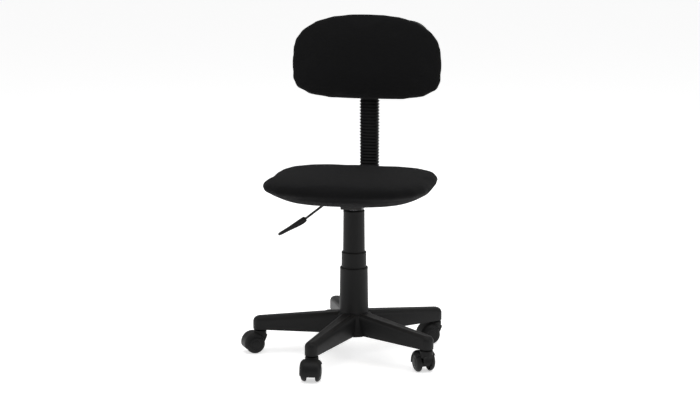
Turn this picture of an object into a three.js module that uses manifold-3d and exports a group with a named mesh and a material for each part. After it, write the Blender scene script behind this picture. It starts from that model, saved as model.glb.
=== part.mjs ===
// A swivel office chair on five twin-wheel castors: star base, gas-lift column with a three-stage
// telescopic cover, upholstered seat on a steel mechanism, and a backrest on a steel bar inside a bellows.
// Millimetres, +Z up. The floor is z = 0, the column is the Z axis and the sitter faces -Y.
import * as THREE from "three";
import { mergeVertices } from "three/addons/utils/BufferGeometryUtils.js";
import Module from "manifold-3d";

const wasm = await Module();
wasm.setup();

// ---- driving dimensions ----
const GAP = 0.3; // between pieces that touch
const ROUND = 32; // segments of the larger round pieces
const SMALL_ROUND = 14; // segments of pins and bolts
const PIN_RING = 20; // segments of the small rings on the piston rod

const WHEEL = { radius: 25, inner: 12, outer: 26, facets: 20, bore: 3.3 }; // inner and outer: from mid castor
const CASTOR = { trail: 17, height: 57.5, web: 11, hood: 29, halfWidth: 22, collar: 16.5 };
const STEM = { radius: 5.5, socketDepth: 24, inBody: 13 };

const LEG = {
  underside: 61,
  tipTop: 93,
  rootTop: 117,
  tipHalfWidth: 17.5,
  rootHalfWidth: 23,
  stemRadius: 241.5, // from the column to each castor stem
  wall: 4,
};
const LEG_ANGLES = [185, 257, 329, 41, 113]; // degrees from +X, one leg each
const CASTOR_ANGLES = [212, 276, 122, 212, 200]; // the way each castor trails from its stem
const HUB = { radius: 42, top: 109.5 };

const COLUMN = { radius: 24.5, wall: 2, bottom: 62, top: 214 };
const CYLINDER = { radius: 14, bottom: 126, top: 390 };
const ROD = { radius: 5, bottom: 52, top: 200 };
const BUFFER = { radius: 17, bottom: 72.3, top: 80 };
const COVER = {
  wall: 1.8,
  lower: { bottom: 109.8, top: 229, bottomRadius: 37.8, topRadius: 35 },
  middle: { bottom: 145, top: 268.5, bottomRadius: 32.6, topRadius: 31 },
  upper: { bottom: 198, top: 374.5, bottomRadius: 28.4, topRadius: 26.6 },
};

const SEAT = {
  halfWidth: 207,
  halfDepth: 190,
  centreY: -17,
  rim: 446,
  top: 470,
  bottom: 410.5,
  power: 3.5, // of the outline: 2 is an ellipse, more is squarer
};
const BOARD = { thickness: 9, halfWidth: 132, halfDepth: 120, power: 3 };
const PLATE = { halfWidth: 72, frontY: -90, rearY: 70, thickness: 3, flange: 6 };
const BOX = { halfWidth: 27, wall: 2.5, bottom: 380.5, frontY: -35, rearY: 120 };
const SEAT_BOLTS = [[-56, -72], [56, -72], [-56, 50], [56, 50]];

const LEVER = { y: -3, z: 397.5, bendX: -61, endX: -124, endZ: 350, rodRadius: 2.5, grip: 77 };

const BAR = { width: 40, thickness: 6, z: 397.5, frontY: 36, bend: 44, uprightY: 197, top: 767 };
const DEPTH_TRAVEL = [-5, 35]; // of the bar, forwards and rearwards from this pose
const BACK_TRAVEL = [-30, 30]; // of the backrest on the bar
const BELLOWS = {
  halfWidth: 25.5,
  innerHalfWidth: 21,
  halfThickness: 13,
  inner: 8,
  bottom: 452,
  top: 668,
  folds: 27,
};

const BACK = {
  halfWidth: 194,
  bottom: 637,
  top: 852.5,
  widest: 733, // the height of the broadest line
  front: 130,
  rear: 179,
  powerAbove: 2.7,
  powerBelow: 3.9,
};
const BACK_BOARD = { halfWidth: 150, bottom: 672, top: 824, thickness: 8, power: 3 };
const SHELL = { rear: 216, halfWidth: 160, bottom: 662, top: 834 };
const BRACKET = { halfWidth: 25, front: 184, rear: 204, bottom: 676, top: 796, wall: 3 };
const KNOB = { radius: 19, height: 18, screw: 4, lobes: 6 };
const BACK_SCREW = { x: 33, z: 738 };
const BACK_KNOB_Z = 721;
const DEPTH_KNOB_Y = 88;

// ---- solids and booleans ----
function solid(geometry) {
  const bare = geometry.index ? geometry.clone() : mergeVertices(geometry);
  bare.deleteAttribute("normal");
  bare.deleteAttribute("uv");
  const merged = mergeVertices(bare, 1e-4);
  return new wasm.Manifold(
    new wasm.Mesh({
      numProp: 3,
      vertProperties: merged.attributes.position.array,
      triVerts: new Uint32Array(merged.index.array),
    }),
  );
}

function geometryOf(manifold) {
  const mesh = manifold.getMesh();
  const position = new Float32Array(mesh.numVert * 3);
  for (let i = 0; i < mesh.numVert; i++) {
    position.set(mesh.vertProperties.subarray(i * mesh.numProp, i * mesh.numProp + 3), i * 3);
  }
  return new THREE.BufferGeometry()
    .setAttribute("position", new THREE.BufferAttribute(position, 3))
    .setIndex(new THREE.BufferAttribute(mesh.triVerts, 1));
}

function join(...geometries) {
  return geometryOf(geometries.map(solid).reduce((a, b) => a.add(b)));
}

function cut(body, ...tools) {
  return geometryOf(tools.map(solid).reduce((a, b) => a.subtract(b), solid(body)));
}

function common(a, b) {
  return geometryOf(solid(a).intersect(solid(b)));
}

// ---- primitives, placed by their real limits ----
function block(x0, x1, y0, y1, z0, z1) {
  const box = new THREE.BoxGeometry(x1 - x0, y1 - y0, z1 - z0);
  return box.translate((x0 + x1) / 2, (y0 + y1) / 2, (z0 + z1) / 2);
}

// A closed solid turned about the Z axis from [radius, z] points.
function turned(points, segments = ROUND) {
  const profile = [...points, points[0]].map(([r, z]) => new THREE.Vector2(r, z));
  return new THREE.LatheGeometry(profile, segments).rotateX(Math.PI / 2);
}

function post(radius, z0, z1, segments = SMALL_ROUND) {
  return turned([[0, z0], [radius, z0], [radius, z1], [0, z1]], segments);
}

function tube(outer, inner, z0, z1, segments = ROUND) {
  return turned([[inner, z0], [outer, z0], [outer, z1], [inner, z1]], segments);
}

const degrees = THREE.MathUtils.degToRad;
const around = (radius, angle) => [radius * Math.cos(degrees(angle)), radius * Math.sin(degrees(angle))];

// A flat outline in the YZ plane, pulled along X from x0 to x1.
function pulledAlongX(shape, x0, x1) {
  return new THREE.ExtrudeGeometry(shape, { depth: x1 - x0, bevelEnabled: false, curveSegments: 10 })
    .applyMatrix4(new THREE.Matrix4().makeBasis(
      new THREE.Vector3(0, 1, 0),
      new THREE.Vector3(0, 0, 1),
      new THREE.Vector3(1, 0, 0),
    ))
    .translate(x0, 0, 0);
}

// A solid along +X through oval sections, each [x, middle z, half width in y, half height].
function ovalBar(sections, segments = 14) {
  const position = [];
  const index = [];
  for (const [x, z, width, height] of sections) {
    for (let j = 0; j < segments; j++) {
      const angle = (j / segments) * Math.PI * 2;
      position.push(x, width * Math.cos(angle), z + height * Math.sin(angle));
    }
  }
  for (let i = 0; i < sections.length - 1; i++) {
    for (let j = 0; j < segments; j++) {
      const [a, b] = [i * segments + j, i * segments + ((j + 1) % segments)];
      index.push(a, b, b + segments, a, b + segments, a + segments);
    }
  }
  const last = (sections.length - 1) * segments;
  for (let j = 1; j < segments - 1; j++) {
    index.push(0, j + 1, j, last, last + j, last + j + 1);
  }
  return new THREE.BufferGeometry()
    .setAttribute("position", new THREE.Float32BufferAttribute(position, 3))
    .setIndex(index);
}

// A squarish pillow: a sphere pressed into a rounded outline. Its length, outline power and depth may
// differ between the two halves of the outline (+Y, -Y), its depth and edge between the faces (+Z, -Z).
function pillow({ halfWidth, lengths, powers, depths, edges }) {
  const geometry = new THREE.SphereGeometry(1, 28, 12).rotateX(Math.PI / 2);
  const position = geometry.attributes.position;
  const v = new THREE.Vector3();
  for (let i = 0; i < position.count; i++) {
    v.fromBufferAttribute(position, i);
    const angle = Math.atan2(v.y, v.x);
    const half = v.y >= 0 ? 0 : 1;
    const face = v.z >= 0 ? 0 : 1;
    const [c, s, p] = [Math.abs(Math.cos(angle)), Math.abs(Math.sin(angle)), powers[half]];
    const out = Math.hypot(v.x, v.y) ** edges[face] * (c ** p + s ** p) ** (-1 / p);
    position.setXYZ(
      i,
      halfWidth * out * Math.cos(angle),
      lengths[half] * out * Math.sin(angle),
      (face ? -1 : 1) * depths[face] * Math.abs(v.z) ** edges[face],
    );
  }
  return geometry;
}

// The pillow's outline as a flat shape about the origin.
function roundedOutline({ halfWidth, lengths, powers }, points = 36) {
  const shape = new THREE.Shape();
  for (let i = 0; i < points; i++) {
    const angle = (i / points) * Math.PI * 2;
    const [c, s] = [Math.cos(angle), Math.sin(angle)];
    const [length, power] = s >= 0 ? [lengths[0], powers[0]] : [lengths[1], powers[1]];
    const x = halfWidth * Math.sign(c) * Math.abs(c) ** (2 / power);
    const y = length * Math.sign(s) * Math.abs(s) ** (2 / power);
    if (i) shape.lineTo(x, y);
    else shape.moveTo(x, y);
  }
  shape.closePath();
  return shape;
}

// ---- materials ----
const finish = (color, roughness, metalness) =>
  new THREE.MeshStandardMaterial({ color, roughness, metalness });
const NYLON = finish(0x1d1d1e, 0.55, 0);
const COVER_PLASTIC = finish(0x1b1b1c, 0.5, 0);
const FABRIC = finish(0x151516, 0.95, 0);
const BELLOWS_PLASTIC = finish(0x141415, 0.6, 0);
const BLACK_STEEL = finish(0x161617, 0.45, 0.6);
const BARE_STEEL = finish(0xb8babd, 0.3, 1);
const PLYWOOD = finish(0xb08a5c, 0.8, 0);
const RUBBER = finish(0x101010, 0.9, 0);

const chair = new THREE.Group();

function piece(name, geometry, material, parent = chair) {
  const mesh = new THREE.Mesh(geometry, material);
  mesh.name = name;
  parent.add(mesh);
  return mesh;
}

// ---- star base: five tapered legs and a hub, hollow underneath ----
const LEG_ROOT = 10; // where a leg's ridge starts, inside the hub

// A leg's plan, with a round tip, raised through the whole height.
function legPlan(inset, bottom) {
  const shape = new THREE.Shape();
  shape.moveTo(LEG_ROOT, -LEG.rootHalfWidth + inset);
  shape.absarc(LEG.stemRadius, 0, LEG.tipHalfWidth - inset, -Math.PI / 2, Math.PI / 2, false);
  shape.lineTo(LEG_ROOT, LEG.rootHalfWidth - inset);
  shape.closePath();
  return new THREE.ExtrudeGeometry(shape, {
    depth: LEG.rootTop - bottom + 20,
    bevelEnabled: false,
    curveSegments: inset ? 6 : 10,
  }).translate(0, 0, bottom);
}

// A leg's side view: flat underneath, its ridge falling from the root to a rounded tip.
function legSide(inset, bottom) {
  const endX = LEG.stemRadius + LEG.tipHalfWidth - inset;
  const top = LEG.tipTop - inset;
  const corner = 15;
  const shape = new THREE.Shape();
  shape.moveTo(LEG_ROOT - 1, bottom);
  shape.lineTo(endX + 1, bottom);
  shape.lineTo(endX + 1, top - corner);
  shape.lineTo(endX, top - corner);
  shape.quadraticCurveTo(endX - 1, top - 1, endX - corner, top + 1);
  shape.lineTo(LEG_ROOT - 1, LEG.rootTop - inset);
  shape.closePath();
  return new THREE.ExtrudeGeometry(shape, { depth: 80, bevelEnabled: false, curveSegments: inset ? 1 : 4 })
    .rotateX(Math.PI / 2)
    .translate(0, 40, 0);
}

// The rounded shoulders on both sides of the ridge, narrowing and falling towards the tip.
function legRidge() {
  const half = LEG.rootHalfWidth;
  const shoulder = 9;
  const section = new THREE.Shape();
  section.moveTo(-half - 1, -90);
  section.lineTo(half + 1, -90);
  section.lineTo(half + 1, -shoulder);
  section.quadraticCurveTo(half + 1, 0, half - shoulder, 0);
  section.lineTo(-half + shoulder, 0);
  section.quadraticCurveTo(-half - 1, 0, -half - 1, -shoulder);
  section.closePath();
  const length = LEG.stemRadius + LEG.tipHalfWidth - LEG_ROOT;
  const ridge = new THREE.ExtrudeGeometry(section, {
    depth: length + 2,
    bevelEnabled: false,
    curveSegments: 3,
  });
  const position = ridge.attributes.position;
  for (let i = 0; i < position.count; i++) {
    const along = position.getZ(i) / length;
    const narrow = 1 + along * (LEG.tipHalfWidth / half - 1);
    const top = LEG.rootTop - along * (LEG.rootTop - LEG.tipTop);
    position.setXYZ(i, LEG_ROOT - 1 + position.getZ(i), position.getX(i) * narrow, top + position.getY(i));
  }
  return ridge;
}

function starBase() {
  const below = LEG.underside - 10;
  const high = LEG.rootTop + 20;
  const bodies = [post(HUB.radius, LEG.underside, HUB.top, ROUND)];
  const hollows = [];
  for (const angle of LEG_ANGLES) {
    const turn = (geometry) => geometry.rotateZ(degrees(angle));
    bodies.push(turn(common(common(legPlan(0, LEG.underside), legSide(0, LEG.underside)), legRidge())));
    const keep = post(11, below - 1, high).translate(LEG.stemRadius, 0, 0);
    const web = block(0, LEG.stemRadius, -1.5, 1.5, below - 1, high);
    const ribs = [95, 140].map((r) => block(r - 1.25, r + 1.25, -30, 30, below - 1, high));
    const hub = post(HUB.radius - 2, below - 1, high, ROUND);
    const inside = common(legPlan(LEG.wall, below), legSide(LEG.wall, below));
    hollows.push(turn(cut(inside, keep, web, hub, ...ribs)));
    hollows.push(
      post(STEM.radius + GAP, LEG.underside - 1, LEG.underside + STEM.socketDepth + 0.5)
        .translate(...around(LEG.stemRadius, angle), 0),
    );
  }
  // room for the column tube and the lower cover's seat
  const bore = post(COLUMN.radius + GAP, LEG.underside - 1, high, ROUND);
  const coverSeat = post(COVER.lower.bottomRadius + 0.6, COVER.lower.bottom - GAP, high, ROUND);
  return cut(join(...bodies), bore, coverSeat, ...hollows);
}

// ---- castor: web and hood under a collar, on a stem, with an axle and two wheels ----
// Built with the stem on the Z axis and the axle CASTOR.trail away along +X, then turned and placed.
function onAxle(geometry) {
  return geometry.rotateX(Math.PI / 2).translate(CASTOR.trail, 0, WHEEL.radius);
}

// The wheel's half profile as [radius, distance from mid castor], rounded towards its outer face.
function wheelProfile(extra) {
  const { radius, inner, outer } = WHEEL;
  return [
    [radius - 1.5 + extra, inner],
    [radius + extra, inner + 3],
    [radius + extra, inner + 6.5],
    [radius - 5.5 + extra, outer - 2.5],
    [radius - 12 + extra, outer - 0.7],
  ];
}

function castorBody() {
  const { trail, web, hood, halfWidth, collar, height } = CASTOR;
  const axle = WHEEL.radius;
  // the hood: a barrel shell over the wheels, open below and towards the stem
  const barrel = onAxle(turned([
    [0, -halfWidth],
    [hood - 4, -halfWidth],
    [hood - 1.2, -halfWidth + 5],
    [hood, -web],
    [hood, web],
    [hood - 1.2, halfWidth - 5],
    [hood - 4, halfWidth],
    [0, halfWidth],
  ], WHEEL.facets));
  const wedge = new THREE.Shape();
  wedge.moveTo(trail, axle);
  wedge.lineTo(trail - 26, axle + 22);
  wedge.lineTo(trail - 26, axle + 40);
  wedge.lineTo(trail + 40, axle + 40);
  wedge.lineTo(trail + 40, axle - 8.5);
  wedge.closePath();
  const across = (shape, half) =>
    new THREE.ExtrudeGeometry(shape, { depth: 2 * half, bevelEnabled: false, curveSegments: 3 })
      .rotateX(Math.PI / 2)
      .translate(0, half, 0);
  // the web: between the wheels, from the collar's front edge to the axle and the hood's tail
  const side = new THREE.Shape();
  side.moveTo(-collar, height - 3);
  side.lineTo(-collar, height - 12);
  side.quadraticCurveTo(-collar + 1, 33, -4, axle - 2);
  side.quadraticCurveTo(3, axle - 10, trail, axle - 10);
  side.lineTo(trail + 27, axle - 7);
  side.lineTo(trail + 27, axle + 8);
  side.lineTo(trail + 8, height - 5);
  side.closePath();
  const body = join(
    common(barrel, across(wedge, halfWidth + 1)),
    common(across(side, web), onAxle(post(hood, -40, 40, WHEEL.facets))),
    post(collar, height - 18, height, 18),
    common(across(side, web), block(-collar - 1, trail - hood + 8, -web, web, axle - 3, height - 2)),
  );
  const room = wheelProfile(1.2);
  const roomProfile = [[0, web], [room[0][0], web], ...room, [0, WHEEL.outer - 0.7]];
  const wheelRoom = [0, Math.PI].map((turn) => onAxle(turned(roomProfile, WHEEL.facets).rotateX(turn)));
  const stemHole = post(STEM.radius + GAP, height - STEM.inBody, height + 5);
  const axleHole = onAxle(post(3 + GAP, -30, 30));
  return cut(body, ...wheelRoom, stemHole, axleHole);
}

function castorStem() {
  const { height } = CASTOR;
  const top = LEG.underside + STEM.socketDepth;
  const low = height - STEM.inBody + GAP;
  return turned([
    [0, low],
    [STEM.radius, low],
    [STEM.radius, height + 0.6],
    [9, height + 0.6],
    [9, LEG.underside - GAP],
    [STEM.radius, LEG.underside - GAP],
    [STEM.radius, top - 1.5],
    [STEM.radius - 1.5, top],
    [0, top],
  ], SMALL_ROUND);
}

function castorWheel(side) {
  const { inner, outer, facets, bore } = WHEEL;
  const flats = 1 / Math.cos(Math.PI / facets); // so that the flats, not the corners, have the stated radius
  const profile = wheelProfile(0).map(([r, y]) => [r * flats, y]);
  const wheel = turned([[bore, inner], ...profile, [0, outer], [0, outer - 5], [bore, outer - 5]], facets);
  return onAxle(wheel.rotateZ(Math.PI / facets).rotateX(side > 0 ? 0 : Math.PI));
}

function castorAxle() {
  return onAxle(post(3, 5.5 - WHEEL.outer, WHEEL.outer - 5.5));
}

function castors() {
  LEG_ANGLES.forEach((angle, i) => {
    const n = i + 1;
    const [x, y] = around(LEG.stemRadius, angle);
    const castor = new THREE.Group();
    castor.position.set(x, y, 0);
    castor.rotation.z = degrees(CASTOR_ANGLES[i]);
    piece(`castor_stem_${n}`, castorStem(), BARE_STEEL, castor);
    piece(`castor_body_${n}`, castorBody(), NYLON, castor);
    piece(`castor_axle_${n}`, castorAxle(), BARE_STEEL, castor);
    piece(`castor_wheel_left_${n}`, castorWheel(1), NYLON, castor);
    piece(`castor_wheel_right_${n}`, castorWheel(-1), NYLON, castor);
    chair.add(castor);
  });
}

// ---- gas-lift column: outer tube, guide bush, gas cylinder, piston rod on its bearing, valve pin ----
function columnTube() {
  const { radius, wall, bottom, top } = COLUMN;
  return turned([
    [ROD.radius + 1, bottom],
    [radius, bottom],
    [radius, top],
    [radius - wall, top],
    [radius - wall, bottom + 3],
    [ROD.radius + 1, bottom + 3],
  ]);
}

function guideBush() {
  const outer = COLUMN.radius - COLUMN.wall - GAP;
  const top = COLUMN.top + 2;
  const inner = CYLINDER.radius + GAP;
  return turned([
    [inner, top - 70],
    [outer, top - 70],
    [outer, COLUMN.top + GAP],
    [COLUMN.radius, COLUMN.top + GAP],
    [COLUMN.radius, top],
    [inner, top],
  ]);
}

function gasCylinder() {
  const { radius, bottom, top } = CYLINDER;
  const wall = 2;
  return turned([
    [ROD.radius + 1, bottom],
    [radius, bottom],
    [radius, top - 42],
    [radius - 0.9, top],
    [4 + GAP, top],
    [4 + GAP, top - 14],
    [radius - wall - 1, top - 22],
    [radius - wall, top - 60],
    [radius - wall, bottom + 8],
    [ROD.radius + 1, bottom + 8],
  ], 24);
}

function pistonRod() {
  const { radius, bottom, top } = ROD;
  const head = CYLINDER.radius - 2.6;
  return turned([
    [0, bottom],
    [radius, bottom],
    [radius, bottom + 3],
    [radius - 1, bottom + 3],
    [radius - 1, bottom + 5],
    [radius, bottom + 5],
    [radius, top - 12],
    [head, top - 12],
    [head, top],
    [0, top],
  ], PIN_RING);
}

function column() {
  piece("column_tube", columnTube(), BLACK_STEEL);
  piece("guide_bush", guideBush(), COVER_PLASTIC);
  const bearing = tube(16, ROD.radius + GAP, COLUMN.bottom + 3 + GAP, COLUMN.bottom + 10, PIN_RING);
  piece("thrust_bearing", bearing, BARE_STEEL);
  piece("rubber_buffer", tube(BUFFER.radius, ROD.radius + GAP, BUFFER.bottom, BUFFER.top, PIN_RING), RUBBER);
  piece("piston_rod", pistonRod(), BARE_STEEL);
  piece("rod_clip", tube(10, ROD.radius - 1 + 0.2, ROD.bottom + 3.3, ROD.bottom + 4.7, PIN_RING), BARE_STEEL);
  piece("gas_cylinder", gasCylinder(), BARE_STEEL);
  piece("valve_pin", post(4, CYLINDER.top - 13.5, CYLINDER.top + 5.2), BARE_STEEL);
}

// ---- telescopic cover: three sleeves, the widest standing on the hub ----
function sleeve({ bottom, top, bottomRadius, topRadius }, lip) {
  const { wall } = COVER;
  return turned([
    [bottomRadius - wall, bottom],
    [bottomRadius, bottom],
    [topRadius + 0.6, top - 1.2],
    [topRadius - 0.6, top],
    [topRadius - wall - lip, top],
    [topRadius - wall - lip, top - 2],
    [topRadius - wall, top - 2],
  ]);
}

function cover() {
  piece("cover_lower", sleeve(COVER.lower, 0), COVER_PLASTIC);
  piece("cover_middle", sleeve(COVER.middle, 0), COVER_PLASTIC);
  piece("cover_upper", sleeve(COVER.upper, 8), COVER_PLASTIC);
}

// ---- seat mechanism: pressed plate, box with a taper socket, bolts and the height lever ----
function seatPlate() {
  const top = SEAT.bottom - GAP;
  const bottom = top - PLATE.thickness;
  const plate = block(-PLATE.halfWidth, PLATE.halfWidth, PLATE.frontY, PLATE.rearY, bottom, top);
  const flanges = [-1, 1].map((s) => {
    const x = s * PLATE.halfWidth;
    const [x0, x1] = s < 0 ? [x, x + PLATE.thickness] : [x - PLATE.thickness, x];
    return block(x0, x1, PLATE.frontY, PLATE.rearY, bottom - PLATE.flange, top - 1);
  });
  const holes = SEAT_BOLTS.map(([x, y]) => post(3 + GAP, bottom - 5, top + 5).translate(x, y, 0));
  return cut(join(plate, ...flanges), ...holes);
}

function mechanismBox() {
  const top = SEAT.bottom - GAP - PLATE.thickness - GAP;
  const { halfWidth, wall, bottom, frontY, rearY } = BOX;
  const outer = block(-halfWidth, halfWidth, frontY, rearY, bottom, top);
  const frontRoom = block(wall - halfWidth, halfWidth - wall, frontY + wall, 40, bottom + wall, top + 1);
  const inner = halfWidth - wall;
  const barFloor = BAR.z - BAR.thickness / 2 - GAP;
  const barRoom = block(-inner, inner, 38, rearY + 5, barFloor, top + 1);
  const under = block(-halfWidth - 1, halfWidth + 1, 44, rearY + 5, bottom - 1, barFloor - 3);
  const window = block(-14, 14, frontY - 1, frontY + wall + 1, bottom + 6, bottom + 12);
  const leverSlot = block(-halfWidth - 1, -inner + 1, LEVER.y - 5, LEVER.y + 5, LEVER.z - 8, top + 1);
  const socket = tube(19, CYLINDER.radius + GAP, bottom - 3, CYLINDER.top - 8);
  const socketHole = post(CYLINDER.radius + GAP, bottom - 5, CYLINDER.top + 8, ROUND);
  const screwHole = post(KNOB.screw + GAP, bottom - 5, top + 5).translate(0, DEPTH_KNOB_Y, 0);
  return cut(join(cut(outer, frontRoom, barRoom, under), socket), window, leverSlot, socketHole, screwHole);
}

function bolt(headRadius, headHeight, shaftRadius, length) {
  const head = new THREE.CylinderGeometry(headRadius, headRadius, headHeight, 6)
    .rotateX(Math.PI / 2)
    .translate(0, 0, -headHeight / 2 + 0.01);
  return join(head, post(shaftRadius, -0.5, length, 16));
}

function seatBolts() {
  const under = SEAT.bottom - GAP - PLATE.thickness - GAP;
  SEAT_BOLTS.forEach(([x, y], i) => {
    piece(`seat_bolt_${i + 1}`, bolt(5.8, 4, 3, 10), BARE_STEEL).position.set(x, y, under);
  });
}

// A round rod between two points, with ball ends.
function rodBetween(from, to, radius) {
  const direction = to.clone().sub(from);
  const up = new THREE.Vector3(0, 0, 1);
  const turn = new THREE.Quaternion().setFromUnitVectors(up, direction.clone().normalize());
  const ball = (at) => new THREE.SphereGeometry(radius, 8, 6).translate(at.x, at.y, at.z);
  const rod = post(radius, 0, direction.length(), 8).applyQuaternion(turn).translate(from.x, from.y, from.z);
  return join(rod, ball(from), ball(to));
}

// A level rod out of the box's side, bent down towards the grip, with a flat tongue over the valve pin.
function lever() {
  const { y, z, bendX, endX, endZ, rodRadius, grip } = LEVER;
  const bend = new THREE.Vector3(bendX, y, z);
  const end = new THREE.Vector3(endX, y, endZ);
  const slope = Math.atan2(z - endZ, bendX - endX);
  const along = new THREE.Vector3(-Math.cos(slope), 0, -Math.sin(slope));
  const tip = end.clone().addScaledVector(along, 22);
  const rod = join(
    rodBetween(new THREE.Vector3(-20, y, z), bend, rodRadius),
    rodBetween(bend, tip, rodRadius),
    block(-24, 4, y - 3.5, y + 6.5, z - 1.5, z + 1.5),
  );
  piece("lever_rod", rod, BLACK_STEEL);
  const handle = ovalBar([
    [0, 0, 5.5, 5],
    [2, 0, 6.5, 6],
    [grip * 0.3, -0.5, 8.5, 6.3],
    [grip * 0.55, -1.5, 10.5, 4.6],
    [grip * 0.8, -1, 10.5, 2.4],
    [grip * 0.95, 0, 7.5, 1.8],
    [grip, 0, 3, 1.2],
  ])
    .rotateZ(Math.PI)
    .rotateY(-slope)
    .translate(end.x, end.y, end.z);
  const hole = rodBetween(bend, tip.clone().addScaledVector(along, 0.5), rodRadius + GAP);
  piece("lever_handle", cut(handle, hole), COVER_PLASTIC);
}

// ---- seat: board and upholstered cushion ----
function seatCushion() {
  const { halfWidth, halfDepth, centreY, rim, top, bottom, power } = SEAT;
  const body = pillow({
    halfWidth,
    lengths: [halfDepth, halfDepth],
    powers: [power, power],
    depths: [(top - rim) * 1.08, (rim - bottom) * 1.5],
    edges: [0.7, 1.1],
  }).translate(0, centreY, rim);
  const [wide, deep] = [halfWidth + 9, halfDepth + 9];
  const between = block(-wide, wide, centreY - deep, centreY + deep, bottom, top);
  const recess = flatBoard(bottom - 5, bottom + BOARD.thickness + GAP, GAP);
  return cut(common(body, between), recess);
}

function flatBoard(z0, z1, grow) {
  const shape = roundedOutline({
    halfWidth: BOARD.halfWidth + grow,
    lengths: [BOARD.halfDepth + grow, BOARD.halfDepth + grow],
    powers: [BOARD.power, BOARD.power],
  });
  const board = new THREE.ExtrudeGeometry(shape, { depth: z1 - z0, bevelEnabled: false });
  return board.translate(0, SEAT.centreY, z0);
}

function seatBoard() {
  const { bottom } = SEAT;
  const holes = SEAT_BOLTS.map(([x, y]) => post(3 + GAP, bottom - 5, bottom + 7.5).translate(x, y, 0));
  return cut(flatBoard(bottom, bottom + BOARD.thickness, 0), ...holes);
}

// ---- back bar, its bellows and the two clamping knobs ----
function backBar() {
  const { width, thickness, uprightY, bend, z, top, frontY } = BAR;
  const half = thickness / 2;
  const side = new THREE.Shape();
  side.moveTo(frontY, z - half);
  side.lineTo(uprightY - bend, z - half);
  side.absarc(uprightY - bend, z + bend, bend + half, -Math.PI / 2, 0, false);
  side.lineTo(uprightY + half, top);
  side.lineTo(uprightY - half, top);
  side.lineTo(uprightY - half, z + bend);
  side.absarc(uprightY - bend, z + bend, bend - half, 0, -Math.PI / 2, true);
  side.lineTo(frontY, z + half);
  side.closePath();
  const room = KNOB.screw + 0.6;
  const slotFront = DEPTH_KNOB_Y - DEPTH_TRAVEL[1] - room;
  const slotRear = DEPTH_KNOB_Y - DEPTH_TRAVEL[0] + room;
  const slot = block(-room, room, slotFront, slotRear, z - 9, z + 9);
  const upperSlot = block(
    -room,
    room,
    uprightY - 9,
    uprightY + 9,
    BACK_KNOB_Z + BACK_TRAVEL[0] - room,
    BACK_KNOB_Z + BACK_TRAVEL[1] + room,
  );
  return cut(pulledAlongX(side, -width / 2, width / 2), slot, upperSlot);
}

// A rectangular accordion sleeve with folds that stand out on all four sides.
function bellows() {
  const { halfWidth, innerHalfWidth, halfThickness, inner, bottom, top, folds } = BELLOWS;
  const pitch = (top - bottom) / folds;
  const rings = [];
  for (let i = 0; i <= folds * 2; i++) rings.push([i % 2 ? 1 : 0, bottom + (i * pitch) / 2]);
  const fold = innerHalfWidth + 2;
  const sideways = new THREE.Shape();
  rings.forEach(([out, h], i) => {
    const x = out ? halfWidth : fold;
    if (i) sideways.lineTo(x, h);
    else sideways.moveTo(x, h);
  });
  [...rings].reverse().forEach(([out, h]) => sideways.lineTo(out ? -halfWidth : -fold, h));
  sideways.closePath();
  const wide = new THREE.ExtrudeGeometry(sideways, { depth: halfThickness * 2, bevelEnabled: false })
    .rotateX(Math.PI / 2)
    .translate(0, BAR.uprightY + halfThickness, 0);
  const deep = new THREE.Shape();
  const foldDeep = inner + 2;
  rings.forEach(([out, h], i) => {
    const y = BAR.uprightY + (out ? halfThickness : foldDeep);
    if (i) deep.lineTo(y, h);
    else deep.moveTo(y, h);
  });
  [...rings].reverse().forEach(([out, h]) => deep.lineTo(BAR.uprightY - (out ? halfThickness : foldDeep), h));
  deep.closePath();
  const thick = pulledAlongX(deep, -halfWidth - 1, halfWidth + 1);
  const room = block(
    -innerHalfWidth,
    innerHalfWidth,
    BAR.uprightY - inner,
    BAR.uprightY + inner,
    bottom - 5,
    top + 5,
  );
  return cut(common(wide, thick), room);
}

// A lobed hand knob with its screw pointing up the +Z axis.
function knob(screwLength) {
  const { radius, height, screw, lobes } = KNOB;
  const outline = new THREE.Shape();
  const steps = lobes * 6;
  for (let i = 0; i <= steps; i++) {
    const angle = (i / steps) * Math.PI * 2;
    const r = radius - 1.6 + 1.6 * Math.cos(lobes * angle);
    if (i) outline.lineTo(r * Math.cos(angle), r * Math.sin(angle));
    else outline.moveTo(r, 0);
  }
  const grip = new THREE.ExtrudeGeometry(outline, {
    depth: height - 3,
    bevelThickness: 1.5,
    bevelSize: 1.5,
    bevelOffset: -1.5,
    bevelSegments: 2,
  }).translate(0, 0, -height + 1.5);
  return join(grip, post(9, -0.5, 4), post(screw, 3, screwLength));
}

// ---- backrest: bracket on the bar, board, pad and rear shell ----
function backBracket() {
  const { halfWidth, front, rear, bottom, top, wall } = BRACKET;
  const outer = block(-halfWidth, halfWidth, front, rear + 1, bottom, top);
  const room = block(
    -BAR.width / 2 - GAP,
    BAR.width / 2 + GAP,
    BAR.uprightY - BAR.thickness / 2 - GAP,
    BAR.uprightY + BAR.thickness / 2 + GAP,
    bottom - 5,
    top + 5,
  );
  const ears = block(-halfWidth - 16, halfWidth + 16, front, front + wall, bottom + 20, top - 20);
  const holes = [-1, 1].map((s) => boltHole(s * BACK_SCREW.x, front, BACK_SCREW.z));
  const screwHole = post(KNOB.screw + GAP, -30, 30).rotateX(Math.PI / 2).translate(0, rear, BACK_KNOB_Z);
  return cut(join(outer, ears), room, screwHole, ...holes);
}

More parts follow.
